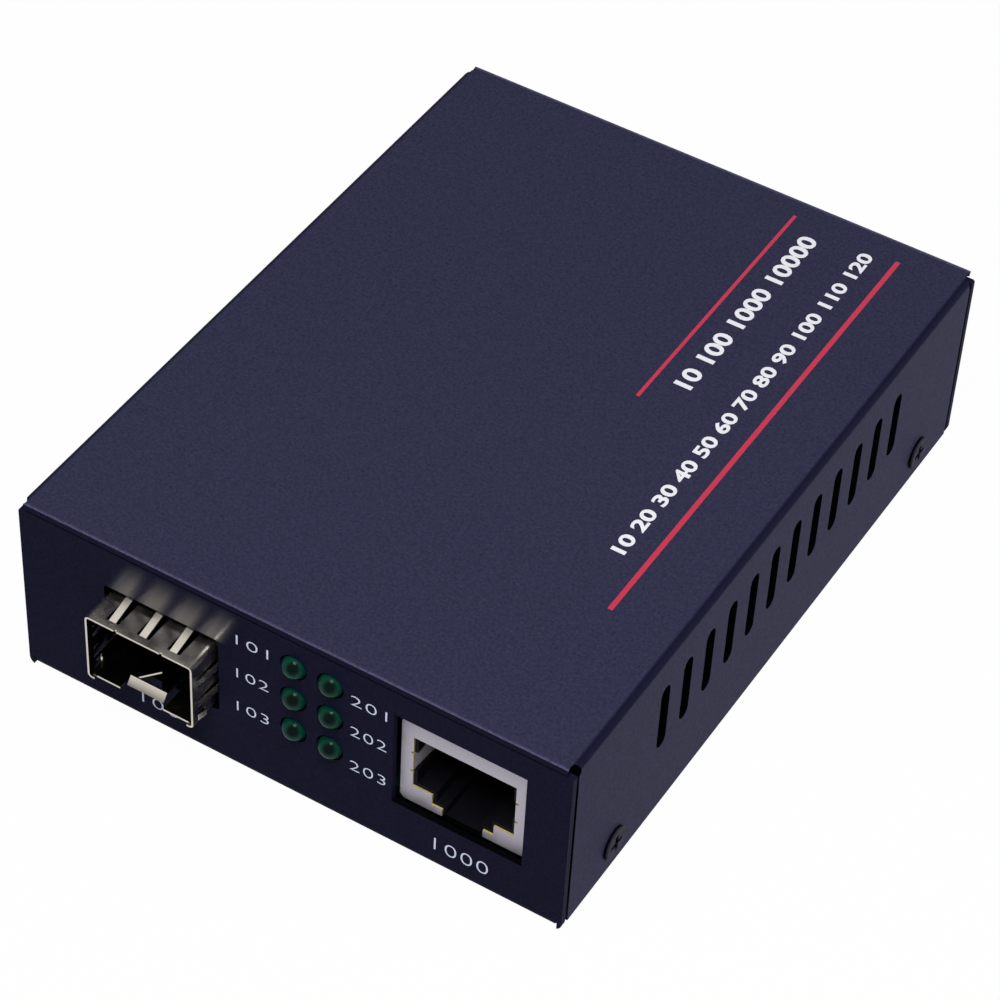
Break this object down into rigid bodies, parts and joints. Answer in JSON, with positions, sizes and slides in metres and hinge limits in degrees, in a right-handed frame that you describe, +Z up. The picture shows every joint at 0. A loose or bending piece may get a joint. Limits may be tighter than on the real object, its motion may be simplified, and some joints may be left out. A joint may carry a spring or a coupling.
{
  "type": "fibre media converter",
  "caption": "Small steel-cased converter between a fibre module bay and a copper network socket, with indicator lamps in front, vented sides and a round low-voltage power socket behind.",
  "frame": {"origin": "middle of the case's flat underside, on the surface it rests on", "axes": "+Y runs from the front panel (module bay, lamps, network socket) to the rear panel; +X is to the right seen from the front; +Z is up"},
  "size_m": [0.072, 0.0986, 0.026],
  "materials": {
    "powder_coat": "fine-textured powder coat, satin, blue-black",
    "zinc_screw": "blackened, satin",
    "bright_screw": "zinc-plated",
    "cage_steel": "satin nickel-plated sheet",
    "jack_steel": "satin nickel-plated sheet",
    "black_moulding": "moulded, matte",
    "gold_contact": "gold-plated",
    "tinned_copper": "tinned, satin",
    "green_lens": "tinted translucent, glossy",
    "circuit_laminate": "solder mask, satin",
    "chip_moulding": "moulded epoxy, matte",
    "crystal_can": "drawn can, satin",
    "ferrite": "sintered, matte",
    "capacitor_sleeve": "shrunk sleeve, satin",
    "ceramic_chip": "ceramic, matte",
    "resistor_chip": "glazed, satin"
  },
  "bodies": {
    "root": {"base_tray": "powder_coat", "top_cover": "powder_coat", "cover_screws": "zinc_screw", "circuit_board": "circuit_laminate", "board_standoffs": "bright_screw", "board_screws": "bright_screw", "cage_shell": "cage_steel", "cage_floor": "cage_steel", "host_connector": "black_moulding", "host_contacts": "gold_contact", "jack_shield": "jack_steel", "jack_housing": "black_moulding", "jack_contacts": "gold_contact", "lamp_holder": "black_moulding", "power_housing": "black_moulding", "power_pin": "tinned_copper", "power_contacts": "tinned_copper", "converter_chip": "chip_moulding", "chip_pins": "tinned_copper", "line_transformer": "chip_moulding", "transformer_pins": "tinned_copper", "memory_chip": "chip_moulding", "memory_pins": "tinned_copper", "crystal": "crystal_can", "regulator": "chip_moulding", "regulator_pins": "tinned_copper", "inductor": "ferrite", "capacitor_1": "capacitor_sleeve", "capacitor_2": "capacitor_sleeve", "chip_resistors": "resistor_chip", "chip_capacitors": "ceramic_chip", "lamp_left_bottom": "green_lens", "leads_left_bottom": "tinned_copper", "lamp_left_middle": "green_lens", "leads_left_middle": "tinned_copper", "lamp_left_top": "green_lens", "leads_left_top": "tinned_copper", "lamp_right_bottom": "green_lens", "leads_right_bottom": "tinned_copper", "lamp_right_middle": "green_lens", "leads_right_middle": "tinned_copper", "lamp_right_top": "green_lens", "leads_right_top": "tinned_copper"}
  },
  "joints": []
}
